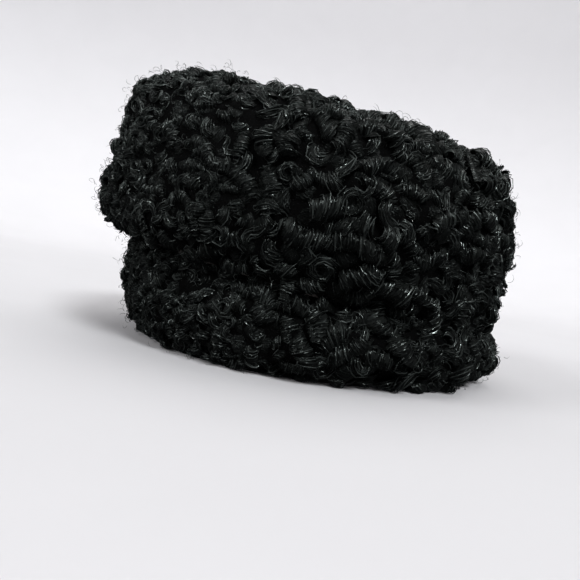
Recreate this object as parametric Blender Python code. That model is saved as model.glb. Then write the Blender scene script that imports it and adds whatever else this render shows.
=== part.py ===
"""Black curly-lamb hat: a soft fur crown that leans to one side over an upturned fur cuff.

The crown is one hollow shell with a smooth skirt inside the cuff. Both pieces carry their curled locks
as raised cells, fused to the backing they grow from. -Y is the front, +X the wearer's left, and the
cuff's underside rests on z = 0.
"""

import math
import random

import bmesh
import bpy
from mathutils import Matrix, Vector

# Driving dimensions, in metres and radians.
HEAD_HALF_WIDTH = 0.086
HEAD_HALF_LENGTH = 0.102
SKIRT_WALL = 0.0025
SKIRT_LIFT = 0.002
SEAM_GAP = 0.0003

CUFF_BACKING = 0.0137
CUFF_SHOULDER = 0.0095
CUFF_HEIGHT = 0.0425
CUFF_OFFSET = 0.0082

CROWN_OVERHANG = 0.0100
CROWN_BACKING = 0.0095
CROWN_HEIGHT = 0.0785
CROWN_DOME = 0.006
CROWN_TILT = math.radians(8.4)
CROWN_OFFSET = -0.0062

LOCK_WIDTH = 0.0173
LOCK_RISE = 0.0037
LOCK_INSET = 0.0031
LOCK_TIP = 0.0012
LOCK_SLIDE = 0.0012
LOCK_TWIST = math.radians(24)
LOCK_LEAST, LOCK_MOST = 0.75, 1.15
LOCK_SEED = 11

CREASE_DEPTH = 0.0065
CREASE_HALF_WIDTH = 0.009
CREASE_FOOT = math.radians(5)
CREASE_HEAD = math.radians(-5)
CREASE_START, CREASE_FULL = 0.1, 0.6

# How rings of locks are laid out: how far a corner between two rings moves, as a share of a ring, how
# tall a ring is for a lock's width, and how much of a ring the lock in the middle of the top takes.
RING_STAGGER = 0.17
RING_PITCH = 0.84
TOP_PITCH = 0.98
TOP_MIDDLE = 0.4
FEWEST_LOCKS = 4
SHARP_EDGE = math.radians(35)
OUTLINE_STEPS = 240

# Sections of the cuff's outside, from the rim up. rise is a share of the height up to the seam, and
# wall a share of the backing outside the skirt.
CUFF_SECTIONS = (
    {"rise": 0.00, "wall": 0.30},
    {"rise": 0.07, "wall": 0.58},
    {"rise": 0.22, "wall": 0.84},
    {"rise": 0.50, "wall": 1.00},
    {"rise": 0.76, "wall": 1.00},
    {"rise": 0.96, "wall": 0.86},
)

# Sections of the crown's outside, from the seam up. rise is a share of the crown's height, spread a
# share of its half width and half length, and lean how far the section still sits over the cuff.
CROWN_SECTIONS = (
    {"rise": 0.01, "spread": 0.86, "lean": 1.00},
    {"rise": 0.07, "spread": 0.94, "lean": 0.55},
    {"rise": 0.17, "spread": 0.99, "lean": 0.15},
    {"rise": 0.32, "spread": 1.00, "lean": 0.00},
    {"rise": 0.50, "spread": 1.00, "lean": 0.00},
    {"rise": 0.72, "spread": 0.99, "lean": 0.00},
    {"rise": 0.89, "spread": 0.965, "lean": 0.00},
    {"rise": 0.975, "spread": 0.91, "lean": 0.00},
    {"rise": 1.00, "spread": 0.83, "lean": 0.00},
)

# Sections of the crown's hollow, from the seam up. rise is a share of the hollow's height above the
# seam, spread a share of its half width and half length, and lean as in the table above.
HOLLOW_SECTIONS = (
    {"rise": 0.10, "spread": 0.90, "lean": 0.60},
    {"rise": 0.30, "spread": 1.00, "lean": 0.00},
    {"rise": 0.72, "spread": 1.00, "lean": 0.00},
    {"rise": 0.92, "spread": 0.92, "lean": 0.00},
    {"rise": 1.00, "spread": 0.76, "lean": 0.00},
)

# Worked out from the sizes above.
SKIRT_HALF_WIDTH = HEAD_HALF_WIDTH + SKIRT_WALL
SKIRT_HALF_LENGTH = HEAD_HALF_LENGTH + SKIRT_WALL
SOCKET_HALF_WIDTH = SKIRT_HALF_WIDTH + SEAM_GAP
SOCKET_HALF_LENGTH = SKIRT_HALF_LENGTH + SEAM_GAP
CROWN_HALF_WIDTH = SOCKET_HALF_WIDTH + CUFF_BACKING + CROWN_OVERHANG
CROWN_HALF_LENGTH = SOCKET_HALF_LENGTH + CUFF_BACKING + CROWN_OVERHANG
HOLLOW_HALF_WIDTH = CROWN_HALF_WIDTH - CROWN_BACKING
HOLLOW_HALF_LENGTH = CROWN_HALF_LENGTH - CROWN_BACKING
HOLLOW_HEIGHT = CROWN_HEIGHT - CROWN_BACKING
CUFF_LEAN = CUFF_OFFSET - CROWN_OFFSET
TOP_SPREAD = CROWN_SECTIONS[-1]["spread"]
TOP_RADIUS = TOP_SPREAD * (CROWN_HALF_WIDTH + CROWN_HALF_LENGTH) / 2
LOCKS_AROUND = round(math.pi * (SOCKET_HALF_WIDTH + CUFF_BACKING + CROWN_HALF_LENGTH) / LOCK_WIDTH)


def clear_scene():
    """Remove everything the scene starts with."""
    for item in list(bpy.data.objects):
        bpy.data.objects.remove(item, do_unlink=True)


def seam_height(x):
    """Height of the slanted seam above the floor at a place across the hat."""
    return CUFF_HEIGHT - math.tan(CROWN_TILT) * (x - CROWN_OFFSET)


def cuff_top(x):
    """Height of the cuff's top, a clearance below the seam."""
    return seam_height(x) - SEAM_GAP


def cuff_foot(_):
    """Height of the cuff's underside."""
    return 0.0


def skirt_foot(_):
    """Height of the skirt's lower edge, just clear of the surface that the cuff stands on."""
    return SKIRT_LIFT


def oval(angle, half_width, half_length):
    """Point of an oval, with the angle counted from the front round to the wearer's left."""
    return half_width * math.sin(angle), -half_length * math.cos(angle)


def crown_frame():
    """Placement of the crown's own upright frame, whose floor is the seam."""
    place = Matrix.Translation((CROWN_OFFSET, 0.0, CUFF_HEIGHT))
    return place @ Matrix.Rotation(CROWN_TILT, 4, "Y")


def eased(before, start, end, after, rest):
    """Value a share of the way from start to end, on a smooth curve through all four."""
    curve = (2 * before - 5 * start + 4 * end - after) * rest**2
    bend = (3 * start - before - 3 * end + after) * rest**3
    return 0.5 * (2 * start + (end - before) * rest + curve + bend)


def section_at(sections, share):
    """Row a share of the way through a table of sections, eased between its rows."""
    steps = len(sections) - 1
    index = min(int(share * steps), steps - 1)
    rows = [sections[min(max(index + k, 0), steps)] for k in (-1, 0, 1, 2)]
    rest = share * steps - index
    return {key: eased(*(row[key] for row in rows), rest) for key in sections[0]}


def mixed(rows, line):
    """Row at a place between two numbered rows."""
    index = min(int(line), len(rows) - 2)
    first, second = rows[index], rows[index + 1]
    return {key: first[key] + (second[key] - first[key]) * (line - index) for key in first}


def ring_rows(sections, measure):
    """Rows that part the rings of locks, evenly spaced along the outline that measure(row) gives."""
    rows = [section_at(sections, k / OUTLINE_STEPS) for k in range(OUTLINE_STEPS + 1)]
    points = [measure(row) for row in rows]
    along = [0.0]
    for first, second in zip(points, points[1:]):
        along.append(along[-1] + (second - first).length)
    rings = max(1, round(along[-1] / (LOCK_WIDTH * RING_PITCH)))
    goals = [along[-1] * k / rings for k in range(rings + 1)]
    return [rows[min(range(len(rows)), key=lambda k: abs(along[k] - goal))] for goal in goals]


def crease(angle, rise):
    """How far the front crease draws the crown in at an angle and a share of its height."""
    line = CREASE_FOOT + (CREASE_HEAD - CREASE_FOOT) * min(rise, 1.0)
    away = (angle - line + math.pi) % (2 * math.pi) - math.pi
    fade = min(max((rise - CREASE_START) / (CREASE_FULL - CREASE_START), 0.0), 1.0)
    return CREASE_DEPTH * fade * math.exp(-((away * CROWN_HALF_LENGTH / CREASE_HALF_WIDTH) ** 2))


def crown_point(angle, row):
    """Point of the crown's backing, in world space."""
    x, y = oval(angle, CROWN_HALF_WIDTH, CROWN_HALF_LENGTH)
    spread = row["spread"] * (1.0 - crease(angle, row["rise"]) / CROWN_HALF_LENGTH)
    lean = row["lean"] * CUFF_LEAN
    return crown_frame() @ Vector((x * spread + lean, y * spread, row["rise"] * CROWN_HEIGHT))


def top_point(angle, share):
    """Point of the crown's domed top, in world space. share runs from 1 at its edge to 0."""
    x, y = oval(angle, CROWN_HALF_WIDTH, CROWN_HALF_LENGTH)
    spread = TOP_SPREAD * share * (1.0 - crease(angle, 1.0) * share**4 / CROWN_HALF_LENGTH)
    rise = CROWN_HEIGHT + CROWN_DOME * (1.0 - share**2)
    return crown_frame() @ Vector((x * spread, y * spread, rise))


def hollow_point(angle, row):
    """Point of the crown's inner wall, in world space."""
    x, y = oval(angle, HOLLOW_HALF_WIDTH, HOLLOW_HALF_LENGTH)
    lean = row["lean"] * CUFF_LEAN
    local = Vector((x * row["spread"] + lean, y * row["spread"], row["rise"] * HOLLOW_HEIGHT))
    return crown_frame() @ local


def cuff_point(angle, row):
    """Point of the cuff's backing, in world space."""
    reach = row["wall"] * CUFF_BACKING
    x, y = oval(angle, SOCKET_HALF_WIDTH + reach, SOCKET_HALF_LENGTH + reach)
    x += CUFF_OFFSET
    return Vector((x, y, row["rise"] * cuff_top(x)))


def ring_of(bm, place, phase=0.0):
    """Ring of vertices at place(angle), as many as there are locks around."""
    turn = 2 * math.pi / LOCKS_AROUND
    return [bm.verts.new(place((k + phase) * turn)) for k in range(LOCKS_AROUND)]


def upright_ring(bm, half_width, half_length, height, phase=0.0):
    """Ring on an oval round the cuff's middle, at the height(x) of its place across the hat."""

    def place(angle):
        x, y = oval(angle, half_width, half_length)
        x += CUFF_OFFSET
        return Vector((x, y, height(x)))

    return ring_of(bm, place, phase)


def join_rings(bm, lower, upper):
    """Skin two rings with as many vertices as each other."""
    count = len(lower)
    for k in range(count):
        after = (k + 1) % count
        bm.faces.new((lower[k], lower[after], upper[after], upper[k]))


def stagger(ring):
    """Share of a lock by which a ring is turned, so that its locks sit between its neighbours'."""
    return 0.5 * (ring % 2)


def line_between_rings(bm, counts, line, place):
    """Vertices of the line between two rings of locks, by the share of a turn where each lies.

    The line holds the corners of both rings, and each corner moves towards the ring that it parts.
    """
    inner = 0 < line < len(counts)
    corners = {}
    for ring, shift in ((line - 1, -RING_STAGGER), (line, RING_STAGGER)):
        if 0 <= ring < len(counts):
            for k in range(counts[ring]):
                turn = round((k + stagger(ring)) / counts[ring], 6)
                corners[turn] = line if turn in corners or not inner else line + shift
    return {turn: bm.verts.new(place(2 * math.pi * turn, corners[turn])) for turn in sorted(corners)}


def corners_between(line, start, end):
    """Vertices of a line from one share of a turn round to another, both included."""
    span = (end - start) % 1.0
    return [line[turn] for turn in sorted(line, key=lambda turn: (turn - start) % 1.0)
            if (turn - start) % 1.0 <= span]


def lock_cells(bm, counts, place):
    """Honeycomb-like cells in rings, one ring for each count. place(angle, line) gives a point.

    Returns the cells, and the vertices of the first and the last line.
    """
    lines = [line_between_rings(bm, counts, line, place) for line in range(len(counts) + 1)]
    cells = []
    for ring, count in enumerate(counts):
        for k in range(count):
            start = round((k + stagger(ring)) / count, 6)
            end = round((k + 1 + stagger(ring)) / count % 1.0, 6)
            lower = corners_between(lines[ring], start, end)
            upper = corners_between(lines[ring + 1], start, end)
            cells.append(bm.faces.new(lower + upper[::-1]))
    return cells, list(lines[0].values()), list(lines[-1].values())


def raise_locks(bm, cells, seed, limit):
    """Raise each cell into a lock, slid and twisted a little, and kept within limit(point)."""
    rng = random.Random(seed)
    bmesh.ops.recalc_face_normals(bm, faces=bm.faces)
    bmesh.ops.inset_individual(bm, faces=cells, thickness=LOCK_INSET, use_even_offset=True)
    for cell in cells:
        normal = cell.normal.copy()
        middle = cell.calc_center_median()
        slide = Vector([rng.uniform(-1.0, 1.0) for _ in range(3)]) * LOCK_SLIDE
        slide -= normal * slide.dot(normal)
        rise = normal * LOCK_RISE * rng.uniform(LOCK_LEAST, LOCK_MOST)
        turn = Matrix.Rotation(rng.uniform(-LOCK_TWIST, LOCK_TWIST), 3, normal)
        for vert in cell.verts:
            vert.co = middle + turn @ (vert.co - middle) + slide + rise
    tips = bmesh.ops.poke(bm, faces=cells, offset=LOCK_TIP, center_mode="MEAN")
    raised = {vert for face in tips["faces"] for vert in face.verts}
    for vert in raised:
        vert.co = limit(vert.co)


def fur_material(name, colour, roughness):
    """Dark fur finish."""
    material = bpy.data.materials.new(name)
    material.use_nodes = True
    shader = material.node_tree.nodes["Principled BSDF"]
    shader.inputs["Base Color"].default_value = (*colour, 1.0)
    shader.inputs["Roughness"].default_value = roughness
    shader.inputs["Metallic"].default_value = 0.0
    return material


def make_object(name, bm, material):
    """Turn a finished bmesh into a named object with its material."""
    bmesh.ops.recalc_face_normals(bm, faces=bm.faces)
    bmesh.ops.triangulate(bm, faces=bm.faces)
    mesh = bpy.data.meshes.new(name)
    bm.to_mesh(mesh)
    bm.free()
    mesh.materials.append(material)
    mesh.shade_smooth()
    mesh.set_sharp_from_angle(angle=SHARP_EDGE)
    piece = bpy.data.objects.new(name, mesh)
    bpy.context.scene.collection.objects.link(piece)
    return piece


def make_cuff():
    """The upturned cuff: a thick ring outside the skirt, flat below and cut off at the seam above."""
    bm = bmesh.new()
    rows = ring_rows(CUFF_SECTIONS, lambda row: cuff_point(0.0, row))
    counts = [LOCKS_AROUND] * (len(rows) - 1)
    cells, foot, head = lock_cells(bm, counts, lambda angle, line: cuff_point(angle, mixed(rows, line)))
    socket = (SOCKET_HALF_WIDTH, SOCKET_HALF_LENGTH)
    shoulder = (SOCKET_HALF_WIDTH + CUFF_SHOULDER, SOCKET_HALF_LENGTH + CUFF_SHOULDER)
    socket_foot = upright_ring(bm, *socket, cuff_foot)
    socket_head = upright_ring(bm, *socket, cuff_top)
    shoulder_head = upright_ring(bm, *shoulder, cuff_top, stagger(len(counts) - 1))
    join_rings(bm, socket_foot, foot)
    join_rings(bm, socket_foot, socket_head)
    join_rings(bm, socket_head, shoulder_head)
    join_rings(bm, shoulder_head, head)

    def under_seam(point):
        return Vector((point.x, point.y, max(min(point.z, cuff_top(point.x)), 0.0)))

    raise_locks(bm, cells, LOCK_SEED, under_seam)
    return make_object("band", bm, fur_material("band_fur", (0.012, 0.013, 0.013), 0.5))


def make_crown():
    """The crown: a shell with locks outside, and a smooth skirt that hangs inside the cuff."""
    bm = bmesh.new()
    rows = ring_rows(CROWN_SECTIONS, lambda row: crown_point(0.0, row))
    side_rings = len(rows) - 1
    top_rings = max(1, round(TOP_RADIUS / (LOCK_WIDTH * TOP_PITCH)))
    whole = top_rings + TOP_MIDDLE
    counts = [LOCKS_AROUND] * side_rings
    for ring in range(top_rings):
        share = TOP_SPREAD * (whole - ring - 0.5) / whole
        counts.append(max(FEWEST_LOCKS, round(LOCKS_AROUND * share)))

    def place(angle, line):
        if line <= side_rings:
            return crown_point(angle, mixed(rows, line))
        return top_point(angle, (whole - (line - side_rings)) / whole)

    cells, foot, middle = lock_cells(bm, counts, place)
    cells.append(bm.faces.new(middle))
    skirt = (SKIRT_HALF_WIDTH, SKIRT_HALF_LENGTH)
    head = (HEAD_HALF_WIDTH, HEAD_HALF_LENGTH)
    rings = [foot, upright_ring(bm, *skirt, seam_height), upright_ring(bm, *skirt, skirt_foot)]
    rings += [upright_ring(bm, *head, skirt_foot), upright_ring(bm, *head, seam_height)]
    rings += [ring_of(bm, lambda angle: hollow_point(angle, row)) for row in HOLLOW_SECTIONS]
    for first, second in zip(rings, rings[1:]):
        join_rings(bm, first, second)
    ceiling = bm.verts.new(crown_frame() @ Vector((0.0, 0.0, HOLLOW_HEIGHT + CROWN_DOME)))
    for first, second in zip(rings[-1], rings[-1][1:] + rings[-1][:1]):
        bm.faces.new((first, second, ceiling))
    to_seam = crown_frame().inverted()

    def over_seam(point):
        local = to_seam @ point
        return crown_frame() @ Vector((local.x, local.y, max(local.z, 0.0)))

    raise_locks(bm, cells, LOCK_SEED + 1, over_seam)
    return make_object("crown", bm, fur_material("crown_fur", (0.010, 0.011, 0.011), 0.48))


clear_scene()
make_crown()
make_cuff()
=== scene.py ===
"""Looks of the curly-lamb hat: skin shells, curled locks, loose hairs, soft studio light and the camera."""

import logging
import math
from dataclasses import dataclass
from enum import Enum

import bmesh
import bpy
import numpy as np
from mathutils import Matrix, Vector, noise
from mathutils.bvhtree import BVHTree


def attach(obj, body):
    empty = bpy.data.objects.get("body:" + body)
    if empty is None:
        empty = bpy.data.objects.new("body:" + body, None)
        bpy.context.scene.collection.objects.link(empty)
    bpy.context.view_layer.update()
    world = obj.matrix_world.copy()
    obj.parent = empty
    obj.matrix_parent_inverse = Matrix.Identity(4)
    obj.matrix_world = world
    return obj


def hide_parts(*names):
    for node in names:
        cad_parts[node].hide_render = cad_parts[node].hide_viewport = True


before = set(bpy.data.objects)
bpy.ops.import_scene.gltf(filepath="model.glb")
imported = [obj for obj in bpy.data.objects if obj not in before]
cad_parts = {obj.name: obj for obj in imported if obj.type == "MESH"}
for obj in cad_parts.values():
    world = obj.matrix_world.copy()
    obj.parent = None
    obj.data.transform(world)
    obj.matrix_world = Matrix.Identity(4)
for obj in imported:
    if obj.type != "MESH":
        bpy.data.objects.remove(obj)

# A colour or a place.
Triple = tuple[float, float, float]
# The places of laid strands, and the way that their ridges face.
Laid = tuple[np.ndarray, np.ndarray]

LOG = logging.getLogger("hat")
MM = 0.001
NOISE_SEED = 3
LOCK_SEED = 5
TUFT_SEED = 15
TUFT_SPACING = 0.0078
# Variants of the fibre pattern: low tufts show the first, locks those up to BODY_VARIANTS, hairs the rest.
VARIANTS = 16
# The variant also picks the finish: the low tufts' and the lock bodies' copies of the fur have less gloss,
# as painted shade between the locks and inside them.
GAP_SHADE_VARIANTS = 4
BODY_VARIANTS = 9
# How much of the pattern's breadth one hair shows.
STRAND_BREADTH = 0.06
FLAT_EDGE = math.radians(100.0)
BODY = "root"
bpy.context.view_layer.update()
BAKE_MAP = "OFBake"
STRAND_MAP = "strand"


class CurlKind(Enum):
    """Forms that a lock of curled lamb fur takes."""

    UNDER = "under"
    PIPE = "pipe"
    WHORL = "whorl"
    FAN = "fan"
    WAVE = "wave"
    RINGLET = "ringlet"


class Region(Enum):
    """Parts of the hat whose locks are joined into one piece each."""

    CROWN_FRONT = "crown_curls_front"
    CROWN_LEFT = "crown_curls_left"
    CROWN_RIGHT = "crown_curls_right"
    CROWN_BACK = "crown_curls_back"
    TOP_FRONT = "crown_curls_top_front"
    TOP_BACK = "crown_curls_top_back"
    CUFF_FRONT = "cuff_curls_front"
    CUFF_BACK = "cuff_curls_back"


@dataclass(frozen=True)
class HatForm:
    """Places on the solids that the fur is laid out by, in metres and radians."""

    crown_offset: float = -0.0062
    cuff_offset: float = 0.0082
    seam_height: float = 0.0425
    tilt: float = math.radians(8.4)
    crown_rise: float = 0.0785
    crease_foot: float = 0.010
    crease_head: float = -0.007
    crease_half_width: float = 0.0022
    crease_front: float = -0.060
    crease_bottom: float = 0.018
    floor_clearance: float = 0.0025
    seam_clearance: float = 0.0015

    def seam_at(self, x: float) -> float:
        """Height of the slanted seam at a place across the hat."""
        return self.seam_height - math.tan(self.tilt) * (x - self.crown_offset)

    def crease_at(self, z: float) -> float:
        """Place across the hat of the front crease at a height."""
        share = (z - self.seam_height) / self.crown_rise
        return self.crease_foot + (self.crease_head - self.crease_foot) * share

    def grows_at(self, point: Vector, on_cuff: bool) -> bool:
        """Say whether a lock may grow at a place.

        Args:
            point: the place.
            on_cuff: whether it lies on the cuff, and not on the crown.

        Returns:
            True where it is clear of the floor, the seam and the front crease.
        """
        if on_cuff:
            return point.z > self.floor_clearance
        above = point.z - self.seam_at(point.x)
        on_crease = abs(point.x - self.crease_at(point.z)) < self.crease_half_width
        creased = on_crease and point.y < self.crease_front and above > self.crease_bottom
        return above > self.seam_clearance and not creased


FORM = HatForm()


def clamp(value: float) -> float:
    """The value, held between 0 and 1."""
    return min(max(value, 0.0), 1.0)


def put(name: str, data: bpy.types.ID) -> bpy.types.Object:
    """Put a mesh, a light or a camera in the scene.

    Args:
        name: the object's name.
        data: what it shows.

    Returns:
        The object.
    """
    made = bpy.data.objects.new(name, data)
    bpy.context.scene.collection.objects.link(made)
    return made


def start_material(name: str) -> tuple:
    """Make a node material.

    Args:
        name: its name.

    Returns:
        The material, its shader, and functions that add a node and link two sockets.
    """
    material = bpy.data.materials.new(name)
    material.use_nodes = True
    tree = material.node_tree
    return material, tree.nodes["Principled BSDF"], tree.nodes.new, tree.links.new


def remap(material: bpy.types.Material, source: bpy.types.NodeSocket, old: tuple[float, float],
          new: tuple[float, float]) -> bpy.types.NodeSocket:
    """Add a node that maps one range to another.

    Args:
        material: gets the node.
        source: the value.
        old: its range.
        new: what the range's ends become.

    Returns:
        The mapped value.
    """
    node = material.node_tree.nodes.new("ShaderNodeMapRange")
    for name, value in zip(("From Min", "From Max", "To Min", "To Max"), (*old, *new)):
        node.inputs[name].default_value = value
    material.node_tree.links.new(source, node.inputs["Value"])
    return node.outputs["Result"]


def relief(material: bpy.types.Material, height: bpy.types.NodeSocket, strength: float,
           depth: float) -> bpy.types.NodeSocket:
    """Add a bump node.

    Args:
        material: gets the node.
        height: the pattern.
        strength: how strongly it shows.
        depth: the pattern's depth in metres.

    Returns:
        The bumped normal.
    """
    node = material.node_tree.nodes.new("ShaderNodeBump")
    node.inputs["Strength"].default_value = strength
    node.inputs["Distance"].default_value = depth
    material.node_tree.links.new(height, node.inputs["Height"])
    return node.outputs["Normal"]


@dataclass(frozen=True)
class FurFinish:
    """Glossy black hair. Each strand differs a little, and is darker and duller at its root."""

    name: str
    root: Triple = (0.0006, 0.0006, 0.0006)
    tip: Triple = (0.0030, 0.0033, 0.0032)
    gloss_low: float = 0.18
    gloss_high: float = 0.95
    specular: float = 1.0
    ior: float = 1.75
    tint: Triple = (0.90, 1.0, 0.95)
    fibres: float = 19.0
    stretch: float = 2.5
    full: float = 0.55
    streaks: tuple[float, float] = (0.43, 0.55)
    bump: float = 1.0
    depth: float = 0.0014

    def material(self) -> bpy.types.Material:
        """Build the node material.

        Returns:
            The material, which reads the strand map: x runs across a strand and y along it.
        """
        material, shader, add, link = start_material(self.name)
        place = add("ShaderNodeUVMap")
        place.uv_map = STRAND_MAP
        split = add("ShaderNodeSeparateXYZ")
        link(place.outputs["UV"], split.inputs[0])
        streak = add("ShaderNodeMapping")
        streak.inputs["Scale"].default_value = (self.fibres, self.stretch, 1.0)
        link(place.outputs["UV"], streak.inputs["Vector"])
        fibre = add("ShaderNodeTexNoise")
        fibre.inputs["Scale"].default_value = 1.0
        fibre.inputs["Detail"].default_value = 1.0
        link(streak.outputs["Vector"], fibre.inputs["Vector"])
        shade = add("ShaderNodeMix")
        shade.data_type = "RGBA"
        shade.inputs["A"].default_value = (*self.root, 1.0)
        shade.inputs["B"].default_value = (*self.tip, 1.0)
        blend = add("ShaderNodeMath")
        blend.operation = "MULTIPLY"
        link(split.outputs["Y"], blend.inputs[0])
        link(fibre.outputs["Fac"], blend.inputs[1])
        spread = remap(material, blend.outputs[0], (0.0, self.full), (0.0, 1.0))
        link(spread, shade.inputs["Factor"])
        link(shade.outputs["Result"], shader.inputs["Base Color"])
        gloss = remap(material, fibre.outputs["Fac"], self.streaks, (self.gloss_high, self.gloss_low))
        link(gloss, shader.inputs["Roughness"])
        link(relief(material, fibre.outputs["Fac"], self.bump, self.depth), shader.inputs["Normal"])
        shader.inputs["Specular IOR Level"].default_value = self.specular
        shader.inputs["IOR"].default_value = self.ior
        shader.inputs["Specular Tint"].default_value = (*self.tint, 1.0)
        return material


@dataclass(frozen=True)
class GrainFinish:
    """Two close colours in a fine grain, which also roughens the surface."""

    name: str
    low: Triple
    high: Triple
    grain: float
    bump: float
    rough: tuple[float, float]
    depth: float = 0.0006
    specular: float = 0.5

    def material(self) -> bpy.types.Material:
        """Build the node material.

        Returns:
            The material, on Object coordinates.
        """
        material, shader, add, link = start_material(self.name)
        place = add("ShaderNodeTexCoord")
        grain = add("ShaderNodeTexNoise")
        grain.inputs["Scale"].default_value = self.grain
        grain.inputs["Detail"].default_value = 4.0
        grain.inputs["Distortion"].default_value = 0.6
        link(place.outputs["Object"], grain.inputs["Vector"])
        shade = add("ShaderNodeMix")
        shade.data_type = "RGBA"
        shade.inputs["A"].default_value = (*self.low, 1.0)
        shade.inputs["B"].default_value = (*self.high, 1.0)
        link(grain.outputs["Fac"], shade.inputs["Factor"])
        link(shade.outputs["Result"], shader.inputs["Base Color"])
        link(remap(material, grain.outputs["Fac"], (0.0, 1.0), self.rough), shader.inputs["Roughness"])
        link(relief(material, grain.outputs["Fac"], self.bump, self.depth), shader.inputs["Normal"])
        shader.inputs["Specular IOR Level"].default_value = self.specular
        return material


@dataclass(frozen=True)
class UnderFurFinish(GrainFinish):
    """Black wool between the locks, nearly glossless as painted shade in the gaps."""

    low: Triple = (0.0006, 0.0006, 0.0006)
    high: Triple = (0.0018, 0.0019, 0.0019)
    grain: float = 900.0
    bump: float = 0.9
    rough: tuple[float, float] = (0.7, 0.9)
    # Gloss cut almost to none: painted shade in the gaps between the locks.
    specular: float = 0.05


@dataclass(frozen=True)
class HideFinish(GrainFinish):
    """Dark tanned skin side of the fur, seen inside the hat."""

    low: Triple = (0.009, 0.0075, 0.0068)
    high: Triple = (0.034, 0.028, 0.024)
    grain: float = 210.0
    bump: float = 1.0
    rough: tuple[float, float] = (0.6, 0.8)


@dataclass(frozen=True)
class FloorFinish(GrainFinish):
    """Plain pale surface that the hat rests on."""

    name: str = "pale_floor"
    low: Triple = (0.70, 0.685, 0.695)
    high: Triple = (0.74, 0.725, 0.735)
    grain: float = 6.0
    bump: float = 0.02
    rough: tuple[float, float] = (0.7, 0.8)


def add_piece(mesh: bpy.types.Mesh, name: str, slot: str, *replaced: str) -> bpy.types.Object:
    """Put a finished mesh in the scene as a piece of the hat.

    Args:
        mesh: the mesh, already in place.
        name: the piece's name.
        slot: the record's material slot; not used.
        replaced: nodes that the piece stands for.

    Returns:
        The piece.
    """
    piece = put(name, mesh)
    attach(piece, BODY)
    if replaced:
        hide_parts(*replaced)
    mesh.calc_loop_triangles()
    LOG.info("%s: %d triangles", name, len(mesh.loop_triangles))
    return piece


@dataclass(frozen=True)
class Bulge:
    """How far one side of a shell's wool stands out or in, height by height, in metres.

    edge says how squarely a place has to face that side to be moved at all, and blend how much more
    squarely to be moved in full.
    """

    toward: tuple[float, float]
    heights: tuple[float, ...]
    pushes: tuple[float, ...]
    edge: float = 0.45
    blend: float = 0.35

    def push(self, point: Vector, middle: float) -> Vector:
        """Move of a point of the wool.

        Args:
            point: the point.
            middle: place of the shell's axis across the hat.

        Returns:
            The move, level and away from the axis.
        """
        out = Vector((point.x - middle, point.y, 0.0)).normalized()
        share = (out.x * self.toward[0] + out.y * self.toward[1] - self.edge) / self.blend
        return out * float(np.interp(point.z, self.heights, self.pushes)) * clamp(share)


CROWN_BULGES = (
    Bulge((-0.95, -0.30), (0.050, 0.058, 0.066, 0.073, 0.080, 0.090, 0.104, 0.113, 0.125),
          (0.0075, 0.0070, 0.0055, 0.0030, 0.0015, -0.0035, -0.0020, 0.0, 0.0015)),
    Bulge((0.98, -0.20), (0.025, 0.045, 0.090, 0.110), (0.0045, 0.0030, 0.0025, 0.0025)),
)
CUFF_BULGES = (
    Bulge((-0.95, -0.30), (0.0, 0.030, 0.045), (0.0005, 0.0015, 0.0030)),
    Bulge((0.95, -0.30), (0.0, 0.012, 0.030), (0.0030, 0.0045, 0.0030)),
)


@dataclass(frozen=True)
class RimRise:
    """How far the crown's front top edge stands above or below an even curve, place by place, in metres."""

    places: tuple[float, ...] = (-0.100, -0.077, -0.056, -0.043, -0.030, -0.020, -0.006, 0.004,
                                 0.020, 0.034, 0.047, 0.069, 0.078, 0.091, 0.105)
    rises: tuple[float, ...] = (0.002, 0.004, 0.0035, 0.004, 0.002, 0.0005, -0.0015, 0.0010,
                                0.0005, -0.0025, 0.002, 0.0015, 0.0015, 0.0045, 0.0050)
    foot: float = 0.035
    fade: float = 0.03
    front_depth: float = 0.05

    def rise(self, point: Vector) -> float:
        """Work out the rise of a point of the crown's wool.

        Args:
            point: the point.

        Returns:
            The rise, which is none at the back and near the seam.
        """
        front = clamp(-point.y / self.front_depth)
        high = clamp((point.z - FORM.seam_at(point.x) - self.foot) / self.fade)
        return front * high * float(np.interp(point.x, self.places, self.rises))


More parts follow.
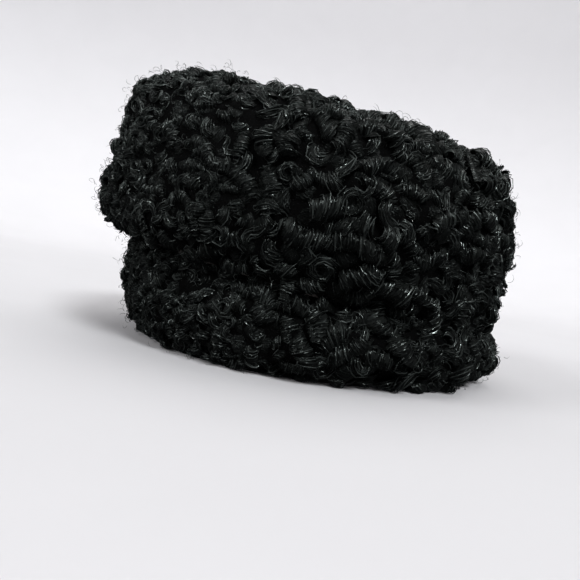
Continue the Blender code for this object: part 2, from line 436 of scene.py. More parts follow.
@dataclass
class SkinShell:
    """A solid's own form with its raised locks worn down: wool outside, and hide where it faces in."""

    node: str
    name: str
    slot: str
    middle: float
    bulges: tuple[Bulge, ...]
    rim: RimRise | None = None
    weld: float = 1e-5
    ledge_drop: float = 0.004
    ledge_level: float = 0.95
    skirt_rise: float = 0.0008
    ray_start: float = 1e-4
    rounds: int = 12
    softening: float = 0.5
    worn: float = 0.0012
    lump: float = 0.0032
    lump_scale: float = 0.017
    wool_depth: float = 0.0010
    wool_scale: float = 0.0045

    def faces_in(self, face: bmesh.types.BMFace, tree: BVHTree) -> bool:
        """Tell hide from wool.

        Args:
            face: a face.
            tree: the whole shell.

        Returns:
            True on the inner wall, the ceiling and the skirt, and where crown and cuff hide the face.
        """
        middle = face.calc_center_median()
        seam = FORM.seam_at(middle.x)
        if self.node == "band":
            hub = Vector((FORM.cuff_offset, 0.0, middle.z))
            if middle.z > seam - self.ledge_drop and face.normal.z > self.ledge_level:
                return True
        else:
            hub = Vector((FORM.crown_offset, 0.0, seam + 0.5 * FORM.crown_rise))
            if middle.z < seam + self.skirt_rise:
                return True
        inward = (hub - middle).normalized()
        hit = tree.ray_cast(middle + inward * self.ray_start, inward, (hub - middle).length)
        return hit[0] is None and face.normal.dot(inward) > 0.0

    def build(self) -> bmesh.types.BMesh:
        """Copy the node's mesh, merge it, mark its hide and wear its locks down.

        Returns:
            The shell, whose faces have index 1 where they are hide.
        """
        bm = bmesh.new()
        bm.from_mesh(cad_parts[self.node].data)
        bmesh.ops.remove_doubles(bm, verts=bm.verts, dist=self.weld)
        bm.normal_update()
        tree = BVHTree.FromBMesh(bm)
        for face in bm.faces:
            face.material_index = int(self.faces_in(face, tree))
            face.smooth = True
        wool = [v for v in bm.verts if all(f.material_index == 0 for f in v.link_faces)]
        for _ in range(self.rounds):
            bmesh.ops.smooth_vert(bm, verts=wool, factor=self.softening, use_axis_x=True,
                                  use_axis_y=True, use_axis_z=True)
        bm.normal_update()
        for vert in wool:
            lump = self.lump * noise.noise(vert.co / self.lump_scale)
            move = sum((bulge.push(vert.co, self.middle) for bulge in self.bulges), Vector())
            if self.rim:
                move.z = self.rim.rise(vert.co)
            vert.co += move - vert.normal * (self.worn - lump)
            vert.co.z = max(vert.co.z, 0.0)
        bm.normal_update()
        return bm

    def dress(self, bm: bmesh.types.BMesh) -> bpy.types.Object:
        """Roughen the wool, then make the shell a piece.

        Args:
            bm: the shell, which is used up.

        Returns:
            The piece.
        """
        edges = list({e for f in bm.faces if f.material_index == 0 for e in f.edges})
        bmesh.ops.subdivide_edges(bm, edges=edges, cuts=1, use_grid_fill=True, smooth=0.0)
        bmesh.ops.triangulate(bm, faces=bm.faces)
        bm.normal_update()
        for vert in bm.verts:
            if all(f.material_index == 0 for f in vert.link_faces):
                vert.co += vert.normal * noise.noise(vert.co / self.wool_scale) * self.wool_depth
                vert.co.z = max(vert.co.z, 0.0)
        mesh = bpy.data.meshes.new(self.name)
        bm.to_mesh(mesh)
        bm.free()
        # The wool's nearly glossless finish is painted shade in the gaps between the locks.
        mesh.materials.append(UnderFurFinish(f"{self.name}_wool").material())
        mesh.materials.append(HideFinish(f"{self.name}_hide").material())
        return add_piece(mesh, self.name, self.slot, self.node)


@dataclass(frozen=True)
class Root:
    """Where a lock grows: its place, the surface's normal there, its lie and its size."""

    place: Vector
    normal: Vector
    lie: Vector
    size: float


@dataclass
class RootField:
    """Scatters roots over a shell's wool, further apart where the locks are larger."""

    seed: int
    spacing: float = 0.0070
    candidates: int = 26000
    flow_scale: float = 0.034
    flow_stray: float = 0.45
    droop: float = 0.15
    patchiness: float = 0.16
    patch_scale: float = 0.03
    crease_blend: float = 0.012
    front_depth: float = 0.06
    finer: float = -0.20
    side_step: float = 0.30
    size_limit: float = 1.3

    def size_at(self, point: Vector) -> float:
        """Size of the locks at a place: finer to the right of the front crease, larger to its left.

        Args:
            point: a place on the hat.

        Returns:
            The size, where 1 is a middling lock.
        """
        patchy = 1.0 + self.patchiness * noise.noise(point / self.patch_scale)
        if point.y > 0.0:
            return patchy
        side = (point.x - FORM.crease_at(point.z)) / self.crease_blend
        step = clamp(0.5 + 0.5 * side)
        front = clamp(-point.y / self.front_depth)
        return patchy * (1.0 + front * (self.finer + self.side_step * step))

    def lie_at(self, point: Vector, normal: Vector, rng: np.random.Generator) -> Vector:
        """Find the direction that the hair grows in at a place: a slow swirl with some stray.

        Args:
            point: the place.
            normal: the surface's normal there.
            rng: the source of the stray.

        Returns:
            The direction, level with the surface.
        """
        drift = noise.noise_vector(point / self.flow_scale) + Vector((0.0, 0.0, -self.droop))
        lie = (drift - normal * drift.dot(normal)).normalized()
        return Matrix.Rotation(rng.normal(0.0, self.flow_stray), 3, normal) @ lie

    def scatter(self, bm: bmesh.types.BMesh, on_cuff: bool) -> list[Root]:
        """Scatter roots over the wool of a shell.

        Args:
            bm: the shell.
            on_cuff: whether it is the cuff's.

        Returns:
            The roots, none closer than the spacing times their sizes.
        """
        rng = np.random.default_rng(self.seed)
        faces = [f for f in bm.faces if f.material_index == 0]
        areas = np.array([f.calc_area() for f in faces])
        picks = rng.choice(len(faces), self.candidates, p=areas / areas.sum())
        weights = rng.dirichlet((1.0, 1.0, 1.0), self.candidates)
        cell = self.spacing * self.size_limit
        grid: dict[tuple[int, int, int], list[tuple[Vector, float]]] = {}
        roots = []
        for pick, share in zip(picks, weights):
            corners = faces[pick].verts[:3]
            point = sum((v.co * w for v, w in zip(corners, share)), Vector())
            if not FORM.grows_at(point, on_cuff):
                continue
            size = self.size_at(point)
            reach = self.spacing * size
            key = tuple(int(math.floor(c / cell)) for c in point)
            near = [found for dx in (-1, 0, 1) for dy in (-1, 0, 1) for dz in (-1, 0, 1)
                    for found in grid.get((key[0] + dx, key[1] + dy, key[2] + dz), ())]
            if any((point - other).length < 0.5 * (reach + other_reach) for other, other_reach in near):
                continue
            grid.setdefault(key, []).append((point, reach))
            normal = sum((v.normal * w for v, w in zip(corners, share)), Vector()).normalized()
            roots.append(Root(point, normal, self.lie_at(point, normal, rng), size))
        return roots


@dataclass(frozen=True)
class Sleeve:
    """A closed bar with a number of sides and stations, repeated by the thousand as a strand or a lock."""

    sides: int
    stations: int

    def template(self) -> tuple[np.ndarray, list[tuple[int, ...]]]:
        """Make one straight bar with bmesh and read it.

        Returns:
            The section's corners as (sides, 2), and the faces, whose corners count as
            sides * station + corner.
        """
        bm = bmesh.new()
        start = bmesh.ops.create_circle(bm, cap_ends=False, segments=self.sides, radius=0.5)["verts"]
        section = np.array([v.co.xy for v in start])
        edges = list(bm.edges)
        order = {v: k for k, v in enumerate(start)}
        ring = start
        for station in range(1, self.stations):
            made = bmesh.ops.extrude_edge_only(bm, edges=edges)["geom"]
            verts = [g for g in made if isinstance(g, bmesh.types.BMVert)]
            edges = [g for g in made if isinstance(g, bmesh.types.BMEdge)]
            bmesh.ops.translate(bm, vec=(0.0, 0.0, 1.0), verts=verts)
            for vert in verts:
                below = min(ring, key=lambda old: (old.co.xy - vert.co.xy).length)
                order[vert] = self.sides * station + order[below] % self.sides
            ring = verts
        bmesh.ops.holes_fill(bm, edges=bm.edges, sides=self.sides)
        bmesh.ops.recalc_face_normals(bm, faces=bm.faces)
        faces = [tuple(order[v] for v in f.verts) for f in bm.faces]
        bm.free()
        return section, faces


@dataclass(frozen=True)
class CurlStyle:
    """How a kind of lock is drawn.

    A lock has a ribbed body, which gives it its form, and thin hairs that lie over it. share is its
    share of all locks, and waver how far a rib strays from its neighbours, in millimetres.
    """

    kind: CurlKind
    ribs: int
    rib_stations: int
    hairs: int
    hair_stations: int
    share: float
    waver: float


# After the kind: ribs, stations of a rib, hairs, stations of a hair, share and waver.
UNDER_STYLE = CurlStyle(CurlKind.UNDER, 6, 5, 0, 0, 1.0, 0.35)
CURL_STYLES = (
    CurlStyle(CurlKind.PIPE, 12, 7, 10, 6, 0.49, 0.24),
    CurlStyle(CurlKind.WHORL, 10, 9, 7, 8, 0.07, 0.20),
    CurlStyle(CurlKind.FAN, 8, 7, 9, 6, 0.22, 0.30),
    CurlStyle(CurlKind.WAVE, 8, 8, 8, 7, 0.18, 0.30),
    CurlStyle(CurlKind.RINGLET, 5, 10, 6, 9, 0.04, 0.22),
)


@dataclass(frozen=True)
class Draft:
    """What of a lock is laid at a time: its ribs, or its hairs."""

    strands: int
    stations: int
    stray: float
    waver: float
    lift: tuple[float, float]
    seed: int


class CurlPaths:
    """Lays the strands of many locks of one kind at a time, in each lock's own frame.

    x is the way that the lock grows, z the way up from the skin. Arrays run over locks, strands and
    stations. Every kind gives the places of the strands and the way their ridges face. Two drafts with
    one lock seed lie on the same locks.
    """

    def __init__(self, draft: Draft, sizes: np.ndarray, lock_seed: int) -> None:
        """Set up the arrays that all kinds share.

        Args:
            draft: what is laid.
            sizes: one size for each lock.
            lock_seed: the seed of the locks' own forms.
        """
        self.draft = draft
        self.lock_rng = np.random.default_rng(lock_seed)
        self.rng = np.random.default_rng(draft.seed)
        self.locks = len(sizes)
        self.size = sizes[:, None, None] * MM
        self.strands = draft.strands
        across = np.linspace(-1.0, 1.0, draft.strands)
        self.across = across[None, :, None] + self.by_strand(-1.0, 1.0) * draft.stray
        along = np.linspace(0.0, 1.0, draft.stations)[None, None, :]
        self.along = along * self.by_strand(0.78, 1.04)

    def by_lock(self, low: float, high: float) -> np.ndarray:
        """One chance number for each lock."""
        return self.lock_rng.uniform(low, high, (self.locks, 1, 1))

    def by_strand(self, low: float, high: float) -> np.ndarray:
        """One chance number for each strand."""
        return self.rng.uniform(low, high, (self.locks, self.strands, 1))

    def hand(self) -> np.ndarray:
        """Left or right for each lock, as -1 or 1."""
        return np.where(self.by_lock(0.0, 1.0) < 0.5, -1.0, 1.0)

    def waver(self) -> np.ndarray:
        """Draw a slow stray of each strand to its sides.

        Returns:
            The offset of its places.
        """
        shape = (self.locks, self.strands, 1, 3)
        phase = self.rng.uniform(0.0, 2.0 * np.pi, shape)
        rate = self.rng.uniform(2.0, 7.0, shape)
        reach = self.rng.normal(0.0, self.draft.waver, shape) * self.size[..., None]
        return reach * np.sin(rate * self.along[..., None] + phase)

    def tube(self, x: np.ndarray, y: np.ndarray, z: np.ndarray, heading: np.ndarray, radius: np.ndarray,
             spread: float) -> Laid:
        """Lay the strands over the upper half of a tube that lies along a bent line.

        Args:
            x: the line's places along the growth.
            y: its places across.
            z: its heights.
            heading: its direction at each place.
            radius: the tube's radius there.
            spread: how far round the tube the outer strands lie, in radians.

        Returns:
            Places and the way the ridges face.
        """
        lean = spread * self.across + 0.0 * heading
        aside = np.sin(lean) * radius
        place = np.stack((x - np.sin(heading) * aside, y + np.cos(heading) * aside,
                          z + 0.75 * np.cos(lean) * radius), axis=-1)
        up = np.stack((-np.sin(heading) * np.sin(lean), np.cos(heading) * np.sin(lean),
                       np.cos(lean)), axis=-1)
        return place, up

    def bent_line(self, heading: np.ndarray, length: np.ndarray, back: float) -> tuple[np.ndarray, ...]:
        """Walk along a heading.

        Args:
            heading: direction at each place.
            length: the line's length.
            back: how far behind the root it starts, as a share of its length.

        Returns:
            Its places along the growth and across.
        """
        step = np.diff(self.along, axis=2, prepend=0.0) * length
        x = np.cumsum(np.cos(heading) * step, axis=2) - back * length
        return x, np.cumsum(np.sin(heading) * step, axis=2)

    def under(self) -> Laid:
        """Lay low, broad strands that cover the skin between the locks.

        Returns:
            Places and the way the ridges face.
        """
        length = self.size * self.by_lock(8.0, 11.5)
        heading = self.hand() * self.by_lock(0.3, 2.4) * (self.along - 0.4)
        x, y = self.bent_line(heading, length, 0.4)
        y = y + self.across * 2.0 * self.size
        radius = self.size * 3.3 * np.sin(np.pi * (0.12 + 0.80 * self.along))
        dip = self.size * (0.2 + 5.0 * (self.along - 0.45)**2)
        return self.tube(x, y, 0.0 * x - dip, heading, radius, 1.25)

    def pipe(self) -> Laid:
        """Lay a breaking wave: the hair rises gently from its roots and curls under along a wavy crest.

        Returns:
            Places and the way the ridges face.
        """
        ends = np.sqrt(np.clip(1.0 - (0.97 * self.across)**2, 0.04, 1.0))
        uneven = 1.0 + 0.13 * np.sin(self.by_lock(2.5, 6.0) * self.across + self.by_lock(0.0, 6.3))
        radius = self.size * self.by_lock(2.9, 4.4) * (0.34 + 0.66 * ends) * uneven
        radius = radius * self.by_strand(0.92, 1.08)
        turn = np.radians(self.by_strand(-34.0, -10.0) + self.by_lock(205.0, 255.0) * self.along)
        tight = radius * (1.0 - self.by_lock(0.05, 0.30) * self.along)
        reach = self.size * self.by_lock(0.4, 2.4)
        sway = reach * np.sin(self.by_lock(1.6, 3.6) * self.across + self.by_lock(0.0, 6.3))
        slope = np.where(turn < 0.5 * np.pi, self.by_lock(1.0, 1.35), 1.0)
        x = sway - tight * np.cos(turn) * slope
        z = 0.36 * radius + tight * np.sin(turn)
        fan = 1.0 + self.by_lock(-0.30, 0.30) * (self.along - 0.4)
        y = self.across * self.size * self.by_lock(4.0, 8.5) * fan
        y = y + self.by_lock(-0.4, 0.4) * radius * self.along * 2.0
        bend = self.by_lock(-1.0, 1.0) / (11.0 * self.size)
        angle = bend * y
        safe = np.where(np.abs(bend) < 1.0, 1.0, bend)
        arm = 1.0 / safe + x
        place = np.stack((arm * np.cos(angle) - 1.0 / safe, arm * np.sin(angle), z), axis=-1)
        up = np.stack((-np.cos(turn) * np.cos(angle), -np.cos(turn) * np.sin(angle), np.sin(turn)), axis=-1)
        return place, up

    def whorl(self) -> Laid:
        """Lay a snail: strands wind inwards in a ring that lies on the skin.

        Returns:
            Places and the way the ridges face.
        """
        outer = self.size * self.by_lock(4.2, 6.0)
        inward = 1.0 - self.by_lock(0.62, 0.80) * self.along
        phase = self.by_lock(0.0, 6.28) + np.pi * self.across * self.by_lock(0.75, 1.0)
        turn = self.hand() * self.by_lock(5.6, 8.0) * self.along + phase
        lean = 1.35 - 2.2 * self.along + 0.0 * turn
        reach = outer * inward * self.by_strand(0.92, 1.06)
        swell = np.sin(np.pi * np.clip(self.along * 0.8 + 0.06, 0.0, 1.0))
        z = self.size * (0.3 + self.by_lock(2.2, 3.4) * swell)
        place = np.stack((reach * np.cos(turn), reach * np.sin(turn), z + 0.0 * turn), axis=-1)
        up = np.stack((np.sin(lean) * np.cos(turn), np.sin(lean) * np.sin(turn), np.cos(lean)), axis=-1)
        return place, up

    def fan(self) -> Laid:
        """Lay a lying lock with a bent back, broad at its root and pointed at its end.

        Returns:
            Places and the way the ridges face.
        """
        length = self.size * self.by_lock(9.0, 14.0)
        heading = self.hand() * self.by_lock(1.4, 3.9) * (self.along**1.3 - 0.25)
        x, y = self.bent_line(heading, length, 0.34)
        radius = self.size * self.by_lock(2.4, 3.7) * np.sin(np.pi * (0.20 + 0.68 * self.along))
        z = self.size * (self.by_lock(0.8, 2.6) * np.sin(np.pi * np.clip(self.along, 0.0, 1.0)) - 0.3)
        return self.tube(x, y, z, heading, radius, 1.4)

    def wave(self) -> Laid:
        """Lay a lying lock that bends one way and then the other.

        Returns:
            Places and the way the ridges face.
        """
        length = self.size * self.by_lock(15.0, 21.0)
        sway = self.hand() * self.by_lock(0.8, 1.5)
        heading = sway * np.sin(self.by_lock(4.6, 7.5) * self.along + self.by_lock(0.0, 1.5))
        x, y = self.bent_line(heading, length, 0.38)
        radius = self.size * self.by_lock(2.0, 3.0) * np.sin(np.pi * (0.14 + 0.78 * self.along))
        hump = np.sin(self.by_lock(4.0, 8.0) * self.along + self.by_lock(0.0, 3.0))
        z = self.size * (0.9 + 0.9 * hump) * np.clip(self.along / 0.2, 0.0, 1.0)
        return self.tube(x, y, z, heading, radius, 1.35)

    def ringlet(self) -> Laid:
        """Lay a corkscrew that lies along the skin and lifts its end.

        Returns:
            Places and the way the ridges face.
        """
        radius = self.size * self.by_lock(2.2, 3.3) * (1.0 - 0.35 * self.along)
        turns = self.by_lock(1.2, 1.8)
        turn = self.hand() * 2.0 * np.pi * turns * self.along - np.pi / 2 + self.across * 0.35
        x = self.size * self.by_lock(5.0, 6.6) * turns * (self.along - 0.5)
        x = x + self.across * self.size * 2.3 * (1.0 - 0.3 * self.along) + 0.0 * turn
        z = radius[:, :, :1] * 0.85 + radius * np.sin(turn) + self.size * self.by_lock(0.0, 2.6) * self.along
        place = np.stack((x, radius * np.cos(turn), z), axis=-1)
        return place, np.stack((0.0 * turn, np.cos(turn), np.sin(turn)), axis=-1)

    def lay(self, kind: CurlKind) -> Laid:
        """Lay the strands of a kind of lock.

        Args:
            kind: the kind.

        Returns:
            Places and the way the ridges face.
        """
        place, up = getattr(self, kind.value)()
        lift = self.size * self.by_strand(*self.draft.lift)
        return place + self.waver() + up * lift[..., None], up


def unit(vectors: np.ndarray) -> np.ndarray:
    """Vectors of length 1, along the last axis."""
    return vectors / np.maximum(np.linalg.norm(vectors, axis=-1, keepdims=True), 1e-12)


@dataclass
class StrandMesh:
    """Joins many strands into the mesh of one piece.

    girth and ridge stretch a strand's three-sided section to its full width and height. strip_end keeps
    a strand within its variant of the fibre pattern, and margin keeps it off the edge of its square.
    """

    places: list[np.ndarray]
    corners: list[np.ndarray]
    totals: list[np.ndarray]
    maps: list[np.ndarray]
    count: int = 0
    girth: float = 1.15
    ridge: float = 1.3
    strip_end: float = 0.999
    margin: float = 0.03

    @classmethod
    def empty(cls) -> "StrandMesh":
        """A mesh with nothing in it yet."""
        return cls([], [], [], [])

    def add(self, sleeve: Sleeve, spots: np.ndarray, kind: np.ndarray, breadth: float) -> None:
        """Add bars that all have the same number of sides and stations.

        Args:
            sleeve: their form.
            spots: places as (bars, stations, sides, 3).
            kind: for each bar, which of the variants of the fibre pattern it shows.
            breadth: how much of the pattern's breadth goes round a bar, as a share.
        """
        faces = sleeve.template()[1]
        first = self.count + np.arange(len(spots)) * sleeve.sides * sleeve.stations
        loops = np.concatenate([np.array(f) for f in faces])
        totals = np.array([len(f) for f in faces])
        across = loops % sleeve.sides / (sleeve.sides - 1)
        strip = np.stack((across, loops // sleeve.sides / (sleeve.stations - 1)), axis=-1)
        strips = np.broadcast_to(strip, (len(spots), *strip.shape)).copy()
        strips[:, :, 0] = strips[:, :, 0] * self.strip_end * breadth + kind[:, None]
        self.places.append(spots.reshape(-1, 3))
        self.corners.append((first[:, None] + loops[None, :]).ravel())
        self.totals.append(np.tile(totals, len(spots)))
        self.maps.append(strips.reshape(-1, 2))
        self.count += spots.size // 3

    def add_strands(self, centre: np.ndarray, up: np.ndarray, width: np.ndarray, height: float,
                    kind: np.ndarray) -> None:
        """Add thin strands with three sides.

        Args:
            centre: places as (strands, stations, 3).
            up: the way that each ridge faces, in the same form.
            width: widths as (strands, stations).
            height: height of a strand as a share of its width.
            kind: for each strand, which of the variants of the fibre pattern it shows.
        """
        sleeve = Sleeve(3, centre.shape[1])
        section = sleeve.template()[0] * np.array((self.girth, self.ridge * height))
        along = unit(np.gradient(centre, axis=1))
        side = unit(np.cross(up, along))
        ridge = np.cross(along, side)
        out = side[:, :, None, :] * section[None, None, :, :1]
        out = out + ridge[:, :, None, :] * section[None, None, :, 1:]
        spots = centre[:, :, None, :] + width[:, :, None, None] * out
        self.add(sleeve, spots, kind, STRAND_BREADTH)

    def add_bodies(self, ribs: np.ndarray, up: np.ndarray, kind: np.ndarray) -> None:
        """Add the bodies of locks, each one closed below its outer ribs.

        Args:
            ribs: places as (locks, ribs, stations, 3).
            up: the way out of the body there, in the same form.
            kind: for each lock, which of the variants of the fibre pattern it shows.
        """
        across = np.gradient(ribs, axis=1)
        along = np.gradient(ribs, axis=2)
        facing = np.sum(np.cross(across, along) * up, axis=(1, 2, 3))
        spots = np.where(facing[:, None, None, None] < 0.0, ribs[:, ::-1], ribs)
        self.add(Sleeve(*ribs.shape[1:3]), spots.transpose(0, 2, 1, 3), kind, 1.0)

    def finish(self, name: str, floor: float) -> bpy.types.Mesh:
        """Make the mesh.

        Args:
            name: its name.
            floor: height that nothing may lie under.

        Returns:
            The mesh, with its strand map and a bake map on which the strands of a variant share a square.
        """
        places = np.concatenate(self.places)
        places[:, 2] = np.maximum(places[:, 2], floor)
        corners = np.concatenate(self.corners).astype(np.int32)
        totals = np.concatenate(self.totals).astype(np.int32)
        mesh = bpy.data.meshes.new(name)
        mesh.vertices.add(len(places))
        mesh.vertices.foreach_set("co", places.astype(np.float32).ravel())
        mesh.loops.add(len(corners))
        mesh.loops.foreach_set("vertex_index", corners)
        mesh.polygons.add(len(totals))
        mesh.polygons.foreach_set("loop_start", (np.cumsum(totals) - totals).astype(np.int32))
        mesh.polygons.foreach_set("loop_total", totals)
        mesh.update(calc_edges=True)
        strips = np.concatenate(self.maps).astype(np.float32)
        mesh.uv_layers.new(name=STRAND_MAP).data.foreach_set("uv", strips.ravel())
        mesh.uv_layers.new(name=BAKE_MAP).data.foreach_set("uv", self.atlas(strips).ravel())
        mesh.shade_smooth()
        mesh.set_sharp_from_angle(angle=FLAT_EDGE)
        firsts = np.cumsum(totals) - totals
        # Low tufts and lock bodies get the duller copies of the fur (painted shade); hairs keep the full
        # gloss.
        finish = np.searchsorted((GAP_SHADE_VARIANTS, BODY_VARIANTS), strips[firsts, 0], side="right")
        mesh.polygons.foreach_set("material_index", finish.astype(np.int32))
        return mesh

    def atlas(self, strips: np.ndarray) -> np.ndarray:
        """Places on the bake map, where each variant of the fibre pattern has a square of its own.

        Args:
            strips: places on the strand map.

        Returns:
            Places on the bake map.
        """
        side = math.isqrt(VARIANTS)
        variant = np.floor(strips[:, 0])
        local = np.stack((strips[:, 0] - variant, strips[:, 1]), axis=-1)
        local = local * (1.0 - 2.0 * self.margin) + self.margin
        square = np.stack((variant % side, variant // side), axis=-1)
        return ((square + local) / side).astype(np.float32)


@dataclass
class FurCoat:
    """The curled locks of the whole hat, made region by region."""

    seed: int = 24
    scale: tuple[float, float] = (0.75, 1.15)
    sink: float = 0.0008
    rib_lift: tuple[float, float] = (-0.32, 0.32)
    hair_lift: tuple[float, float] = (-0.1, 0.8)
    thin_width: float = 0.50
    thin_range: tuple[float, float] = (0.60, 1.25)
    thin_height: float = 0.75
    tip_reach: float = 0.5
    tip_least: float = 0.14
    tip_curve: float = 0.7
    foot_width: float = 0.55
    foot_reach: float = 0.3
    rib_stray: float = 0.7
    hair_stray: float = 0.35
    hair_waver: float = 2.0
    tilt: float = 0.22
    top_level: float = 0.8
    seed_limit: int = 1 << 30
    floor: float = 0.0003

    def region_of(self, root: Root, on_cuff: bool) -> Region:
        """Region that a root lies in.

        Args:
            root: the root.
            on_cuff: whether it grows on the cuff.

        Returns:
            The region.
        """
        if on_cuff:
            return Region.CUFF_FRONT if root.place.y < 0.0 else Region.CUFF_BACK
        if root.normal.z > self.top_level:
            return Region.TOP_FRONT if root.place.y < 0.0 else Region.TOP_BACK
        across = root.place.x - FORM.crown_offset
        if abs(root.place.y) > abs(across):
            return Region.CROWN_FRONT if root.place.y < 0.0 else Region.CROWN_BACK
        return Region.CROWN_LEFT if across > 0.0 else Region.CROWN_RIGHT

    def taper(self, along: np.ndarray) -> np.ndarray:
        """Narrow a hair at its root and its tip.

        Args:
            along: places along the hair, from 0 to 1.

        Returns:
            Its width there, as a share of its full width.
        """
        tip = np.clip((1.0 - along) / self.tip_reach, self.tip_least, 1.0) ** self.tip_curve
        return tip * np.clip(self.foot_width + along / self.foot_reach, 0.0, 1.0)

    def grow(self, mesh: StrandMesh, style: CurlStyle, roots: list[Root], rng: np.random.Generator) -> None:
        """Grow a lock of one kind from each root.

        Args:
            mesh: receives the strands.
            style: the kind of lock.
            roots: where they grow.
            rng: the source of variation.
        """
        sizes = np.array([root.size for root in roots]) * rng.uniform(*self.scale, len(roots))
        frames = []
        for root in roots:
            lie, normal = root.lie, root.normal
            basis = Matrix((lie, normal.cross(lie), normal)).transposed()
            nod = Matrix.Rotation(rng.normal(0.0, self.tilt), 3, "Y")
            roll = Matrix.Rotation(rng.normal(0.0, self.tilt), 3, "X")
            frames.append(np.array(basis @ (nod @ roll)))
        turned = np.array(frames)
        foot = np.array([root.place - root.normal * self.sink for root in roots])
        lock_seed, rib_seed, hair_seed = (int(seed) for seed in rng.integers(1, self.seed_limit, 3))
        ribs = Draft(style.ribs, style.rib_stations, self.rib_stray / style.ribs, style.waver,
                     self.rib_lift, rib_seed)
        hairs = Draft(style.hairs, style.hair_stations, self.hair_stray, self.hair_waver * style.waver,
                      self.hair_lift, hair_seed)
        # Low tufts show the variants that carry the duller, painted-shade copy of the fur.
        deep = style.kind is CurlKind.UNDER
        shown = (0, GAP_SHADE_VARIANTS) if deep else (GAP_SHADE_VARIANTS, BODY_VARIANTS)
        for draft in (ribs, hairs):
            if not draft.strands:
                continue
            place, up = CurlPaths(draft, sizes, lock_seed).lay(style.kind)
            place = np.einsum("lij,lskj->lski", turned, place) + foot[:, None, None, :]
            up = np.einsum("lij,lskj->lski", turned, up)
            if draft is ribs:
                mesh.add_bodies(place, up, rng.integers(*shown, len(roots)))
                continue
            count = len(roots) * draft.strands
            taper = self.taper(np.linspace(0.0, 1.0, draft.stations))
            wide = np.repeat(np.sqrt(sizes), draft.strands) * rng.uniform(*self.thin_range, count)
            wide = wide * self.thin_width * MM
            mesh.add_strands(place.reshape(count, -1, 3), up.reshape(count, -1, 3),
                             wide[:, None] * taper[None, :], self.thin_height,
                             rng.integers(BODY_VARIANTS, VARIANTS, count))

    def build(self, roots: dict[bool, list[Root]], under_roots: dict[bool, list[Root]]) -> None:
        """Grow every lock and make one piece for each region.

        Args:
            roots: the locks' roots, on the cuff under True and on the crown under False.
            under_roots: roots of the low strands between the locks, in the same form.
        """
        rng = np.random.default_rng(self.seed)
        shares = np.array([style.share for style in CURL_STYLES])
        styles = (*CURL_STYLES, UNDER_STYLE)
        beds: dict[tuple[Region, int], list[Root]] = {}
        for on_cuff in (False, True):
            picks = rng.choice(len(CURL_STYLES), len(roots[on_cuff]), p=shares / shares.sum())
            for root, pick in zip(roots[on_cuff], picks):
                beds.setdefault((self.region_of(root, on_cuff), int(pick)), []).append(root)
            for root in under_roots[on_cuff]:
                beds.setdefault((self.region_of(root, on_cuff), len(CURL_STYLES)), []).append(root)
        # Copies of one fur: the low tufts between the locks and the lock bodies get less gloss as painted
        # shade; hairs keep the full gloss.
        gap_shade_fur = FurFinish("gap_shade_fur", gloss_low=0.30, specular=0.26, ior=1.5).material()
        shaded_body_fur = FurFinish("shaded_body_fur", gloss_low=0.18, specular=0.36, ior=1.5).material()
        crown_fur = FurFinish("crown_fur").material()
        cuff_fur = FurFinish("cuff_fur", tip=(0.0034, 0.0037, 0.0036)).material()
        for region in Region:
            mesh = StrandMesh.empty()
            for index, style in enumerate(styles):
                if (region, index) in beds:
                    self.grow(mesh, style, beds[region, index], rng)
            made = mesh.finish(region.value, self.floor)
            on_cuff = region in (Region.CUFF_FRONT, Region.CUFF_BACK)
            for finish in (gap_shade_fur, shaded_body_fur, cuff_fur if on_cuff else crown_fur):
                made.materials.append(finish)
            add_piece(made, region.value, "cuff_fur" if on_cuff else "crown_fur")


@dataclass
class LooseHairs:
    """Thin single hairs that stand off the locks and break up the outline."""

    name: str
    slot: str
    seed: int
    count: int
    width: float = 0.00018
    height: float = 0.8
    tip_reach: float = 0.5
    tip_least: float = 0.3
    length: tuple[float, float] = (0.0035, 0.0088)
    bend: tuple[float, float] = (2.0, 5.5)
    rise: tuple[float, float] = (0.1, 0.9)
    splay: float = 0.8
    stand: float = 0.004
    gloss_low: float = 0.45
    stations: int = 6
    floor: float = 0.0003

    def build(self, roots: list[Root]) -> None:
        """Grow the hairs from places between the locks' roots.

        Args:
            roots: the locks' roots.
        """
        rng = np.random.default_rng(self.seed)
        picks = rng.integers(0, len(roots), self.count)
        foot = np.array([roots[k].place + roots[k].normal * self.stand for k in picks])
        normal = np.array([roots[k].normal for k in picks])
        stray = rng.normal(0.0, 1.0, (self.count, 3))
        foot = foot + self.stand * (stray - normal * np.sum(stray * normal, axis=1, keepdims=True))
        upward = normal * rng.uniform(*self.rise, (self.count, 1))
        lie = unit(upward + self.splay * unit(rng.normal(0.0, 1.0, (self.count, 3))))
        axis = unit(np.cross(lie, rng.normal(0.0, 1.0, (self.count, 3))))
        length = rng.uniform(*self.length, (self.count, 1))
        bend = rng.uniform(*self.bend, (self.count, 1))
        along = np.linspace(0.0, 1.0, self.stations)
        turn = bend * along[None, :]
        cross = np.cross(axis, lie)
        heading = lie[:, None, :] * np.cos(turn)[:, :, None] + cross[:, None, :] * np.sin(turn)[:, :, None]
        centre = foot[:, None, :] + np.cumsum(heading * (length / self.stations)[:, :, None], axis=1)
        up = np.broadcast_to(axis[:, None, :], centre.shape)
        taper = self.width * np.clip((1.0 - along) / self.tip_reach, self.tip_least, 1.0)
        wide = np.broadcast_to(taper, (self.count, self.stations))
        mesh = StrandMesh.empty()
        mesh.add_strands(centre, up, wide, self.height,
                         rng.integers(BODY_VARIANTS, VARIANTS, self.count))
        made = mesh.finish(self.name, self.floor)
        made.polygons.foreach_set("material_index", np.zeros(len(made.polygons), np.int32))
        finish = FurFinish(f"{self.name}_fur", bump=0.0, gloss_low=self.gloss_low)
        made.materials.append(finish.material())
        add_piece(made, self.name, self.slot)


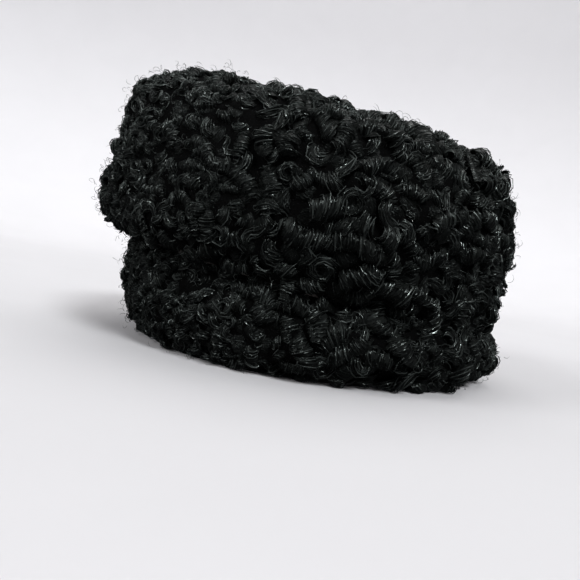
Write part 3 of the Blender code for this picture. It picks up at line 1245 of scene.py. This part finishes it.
@dataclass(frozen=True)
class SoftLight:
    """A broad, round, distant light: where it comes from, how wide it looks, its strength and colour."""

    name: str
    source: Triple
    spread: float
    strength: float
    colour: Triple

    def hang(self) -> None:
        """Put the light in the scene."""
        light = bpy.data.lights.new(self.name, "SUN")
        light.energy = self.strength
        light.angle = math.radians(self.spread)
        light.color = self.colour
        lamp = put(self.name, light)
        lamp.location = self.source
        lamp.rotation_euler = Vector(self.source).to_track_quat("Z", "Y").to_euler()


@dataclass
class Studio:
    """Pale floor that turns up into a round backdrop, soft lights and the camera."""

    azimuth: float = math.radians(12.0)
    elevation: float = math.radians(2.6)
    roll: float = math.radians(8.76)
    distance: float = 0.3556
    target: Triple = (0.0, 0.0, 0.060)
    aside: float = 14.0
    above: float = -42.0
    frame_pixels: float = 580.0
    lens: float = 36.0
    sensor: float = 36.0
    near: float = 0.01
    cove_flat: float = 0.6
    cove_radius: float = 2.6
    cove_turn: float = 1.2
    cove_height: float = 3.2
    cove_bends: int = 12
    cove_sides: int = 96
    sky_colour: Triple = (0.92, 0.95, 1.0)
    sky_strength: float = 0.05
    lights: tuple[SoftLight, ...] = (
        SoftLight("key", (0.65, -0.80, 1.05), 18.0, 1.95, (0.95, 0.98, 1.0)),
        SoftLight("fill", (-0.9, -0.7, 0.7), 26.0, 0.95, (0.97, 0.99, 1.0)),
        SoftLight("overhead", (0.1, 0.4, 1.6), 50.0, 1.1, (1.0, 1.0, 1.0)),
    )

    def cove(self) -> None:
        """Make the floor and the backdrop as one turned sheet."""
        bm = bmesh.new()
        profile = [bm.verts.new((0.0, 0.0, 0.0)), bm.verts.new((self.cove_flat, 0.0, 0.0))]
        profile.append(bm.verts.new((self.cove_radius - self.cove_turn, 0.0, 0.0)))
        for bend in range(1, self.cove_bends + 1):
            angle = math.radians(90.0 / self.cove_bends * bend)
            run = self.cove_radius - self.cove_turn + self.cove_turn * math.sin(angle)
            profile.append(bm.verts.new((run, 0.0, self.cove_turn * (1.0 - math.cos(angle)))))
        profile.append(bm.verts.new((self.cove_radius, 0.0, self.cove_height)))
        edges = [bm.edges.new(pair) for pair in zip(profile, profile[1:])]
        bmesh.ops.spin(bm, geom=profile + edges, cent=(0.0, 0.0, 0.0), axis=(0.0, 0.0, 1.0),
                       dvec=(0.0, 0.0, 0.0), angle=2.0 * math.pi, steps=self.cove_sides,
                       use_merge=True, use_duplicate=False)
        bmesh.ops.remove_doubles(bm, verts=bm.verts, dist=1e-5)
        bm.normal_update()
        if sum(face.normal.z for face in bm.faces) < 0.0:
            bmesh.ops.reverse_faces(bm, faces=bm.faces)
        mesh = bpy.data.meshes.new("cove")
        bm.to_mesh(mesh)
        bm.free()
        mesh.shade_smooth()
        mesh.materials.append(FloorFinish().material())
        cove = put("cove", mesh)
        cove.visible_glossy = False
        cove.visible_shadow = False

    def world(self) -> None:
        """Set the dim surroundings beyond the backdrop, which the fur's gloss mirrors."""
        world = bpy.data.worlds.new("surroundings")
        world.use_nodes = True
        sky = world.node_tree.nodes["Background"]
        sky.inputs["Color"].default_value = (*self.sky_colour, 1.0)
        sky.inputs["Strength"].default_value = self.sky_strength
        bpy.context.scene.world = world
        bpy.context.scene.view_settings.view_transform = "Standard"

    def camera(self) -> None:
        """Set the camera at the angle that the hat was seen from."""
        flat = math.cos(self.elevation)
        back = Vector((math.sin(self.azimuth) * flat, -math.cos(self.azimuth) * flat,
                       math.sin(self.elevation)))
        level = Vector((math.cos(self.azimuth), math.sin(self.azimuth), 0.0))
        up = back.cross(level)
        right = math.cos(self.roll) * level + math.sin(self.roll) * up
        top = -math.sin(self.roll) * level + math.cos(self.roll) * up
        slide = self.distance / self.frame_pixels
        place = Vector(self.target) + back * self.distance
        place += top * (self.above * slide) - right * (self.aside * slide)
        data = bpy.data.cameras.new("camera")
        data.lens = self.lens
        data.sensor_width = self.sensor
        data.clip_start = self.near
        camera = put("camera", data)
        camera.matrix_world = Matrix.Translation(place) @ Matrix((right, top, back)).transposed().to_4x4()
        bpy.context.scene.camera = camera

    def build(self) -> None:
        """Set up the whole studio."""
        self.camera()
        self.cove()
        self.world()
        for light in self.lights:
            light.hang()


def main() -> None:
    """Build the hat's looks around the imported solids."""
    noise.seed_set(NOISE_SEED)
    Studio().build()
    crown = SkinShell("crown", "crown_skin", "crown_fur", FORM.crown_offset, CROWN_BULGES, RimRise())
    cuff = SkinShell("band", "cuff_skin", "cuff_fur", FORM.cuff_offset, CUFF_BULGES)
    crown_shell = crown.build()
    cuff_shell = cuff.build()
    roots: dict[bool, list[Root]] = {}
    under_roots: dict[bool, list[Root]] = {}
    for on_cuff, shell in ((False, crown_shell), (True, cuff_shell)):
        roots[on_cuff] = RootField(LOCK_SEED + on_cuff).scatter(shell, on_cuff)
        under_roots[on_cuff] = RootField(TUFT_SEED + on_cuff, spacing=TUFT_SPACING).scatter(shell, on_cuff)
        LOG.info("%d locks and %d low tufts", len(roots[on_cuff]), len(under_roots[on_cuff]))
    crown.dress(crown_shell)
    cuff.dress(cuff_shell)
    FurCoat().build(roots, under_roots)
    LooseHairs("crown_loose_hairs", "crown_fur", seed=41, count=1300).build(roots[False])
    LooseHairs("cuff_loose_hairs", "cuff_fur", seed=42, count=450).build(roots[True])


if __name__ == "__main__":
    logging.basicConfig(level=logging.INFO, format="%(name)s: %(message)s")
    main()
